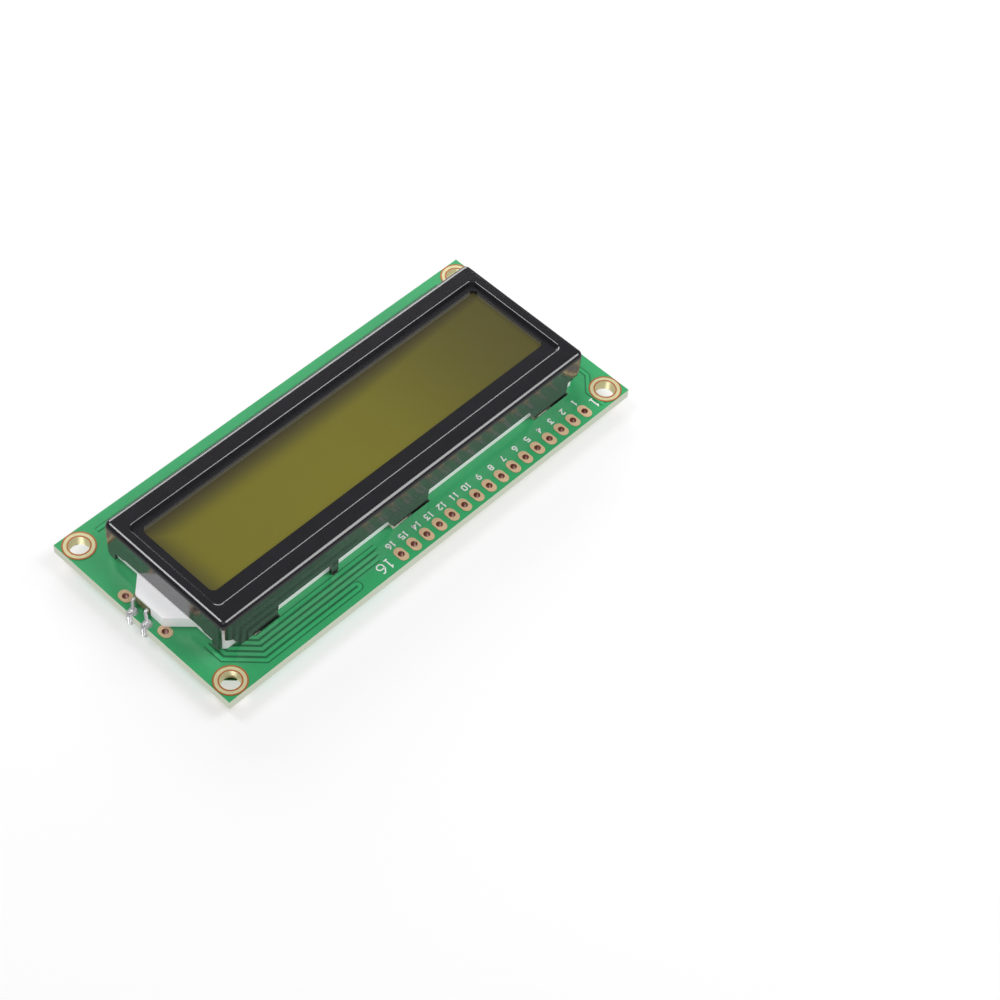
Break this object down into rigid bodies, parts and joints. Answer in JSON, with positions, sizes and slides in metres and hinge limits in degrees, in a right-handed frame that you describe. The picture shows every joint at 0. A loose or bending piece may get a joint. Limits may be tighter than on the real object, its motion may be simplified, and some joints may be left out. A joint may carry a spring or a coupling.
{
  "type": "character display module",
  "caption": "Flat character display module: green circuit board with plated corner holes, black steel bezel round a yellow-green screen, white lamp tongue and twisted lock tabs behind.",
  "frame": {"origin": "centre of the rectangle of mounting holes, on the front face of the circuit board", "axes": "+X along the board towards the lamp end, +Y towards the edge with the header holes, +Z out of the screen"},
  "size_m": [0.0806, 0.036, 0.0106],
  "materials": {
    "backing_film": "matt white film",
    "bare_land": "bare copper land",
    "black_bezel": "semi-gloss black paint on thin steel",
    "chip_resin": "glossy black resin",
    "chip_resistor": "black coating between tinned ends",
    "lamp_resin": "pale yellow-green resin",
    "milky_guide": "milky clear moulding",
    "olive_polariser": "glossy yellow-green polarising film",
    "pane_glass": "clear float glass",
    "plated_land": "plated copper land",
    "plated_ring": "copper ring with a thin bright plating",
    "solder": "bright solder",
    "solder_mask_board": "glossy solder mask over glass-fibre board",
    "strip_rubber": "grey silicone rubber",
    "tinned_wire": "bright tinned wire",
    "white_surround": "satin white moulding"
  },
  "bodies": {
    "root": {"backlight_frame": "white_surround", "backlight_lamp": "lamp_resin", "bezel_frame": "black_bezel", "chip_cover_1": "chip_resin", "chip_cover_2": "chip_resin", "circuit_board": "solder_mask_board", "contact_strip_1": "strip_rubber", "contact_strip_2": "strip_rubber", "diffuser_film": "backing_film", "front_polariser": "olive_polariser", "header_land_01": "plated_land", "header_land_02": "plated_land", "header_land_03": "plated_land", "header_land_04": "plated_land", "header_land_05": "plated_land", "header_land_06": "plated_land", "header_land_07": "plated_land", "header_land_08": "plated_land", "header_land_09": "plated_land", "header_land_10": "plated_land", "header_land_11": "plated_land", "header_land_12": "plated_land", "header_land_13": "plated_land", "header_land_14": "plated_land", "header_land_15": "plated_land", "header_land_16": "plated_land", "lamp_land_1": "plated_land", "lamp_land_2": "plated_land", "lamp_wire_1": "tinned_wire", "lamp_wire_2": "tinned_wire", "light_guide": "milky_guide", "lower_glass": "pane_glass", "mounting_ring_1": "plated_ring", "mounting_ring_2": "plated_ring", "mounting_ring_3": "plated_ring", "mounting_ring_4": "plated_ring", "rear_polariser": "backing_film", "reflector_film": "backing_film", "resistor_1": "chip_resistor", "resistor_2": "chip_resistor", "resistor_3": "chip_resistor", "resistor_4": "chip_resistor", "resistor_5": "chip_resistor", "resistor_6": "chip_resistor", "resistor_7": "chip_resistor", "resistor_8": "chip_resistor", "round_land_1": "plated_land", "round_land_2": "plated_land", "tab_land_1": "bare_land", "tab_land_2": "bare_land", "tab_land_3": "bare_land", "tab_land_4": "bare_land", "tab_land_5": "bare_land", "tab_land_6": "bare_land", "upper_glass": "pane_glass", "wire_solder_1": "solder", "wire_solder_2": "solder"}
  },
  "joints": []
}
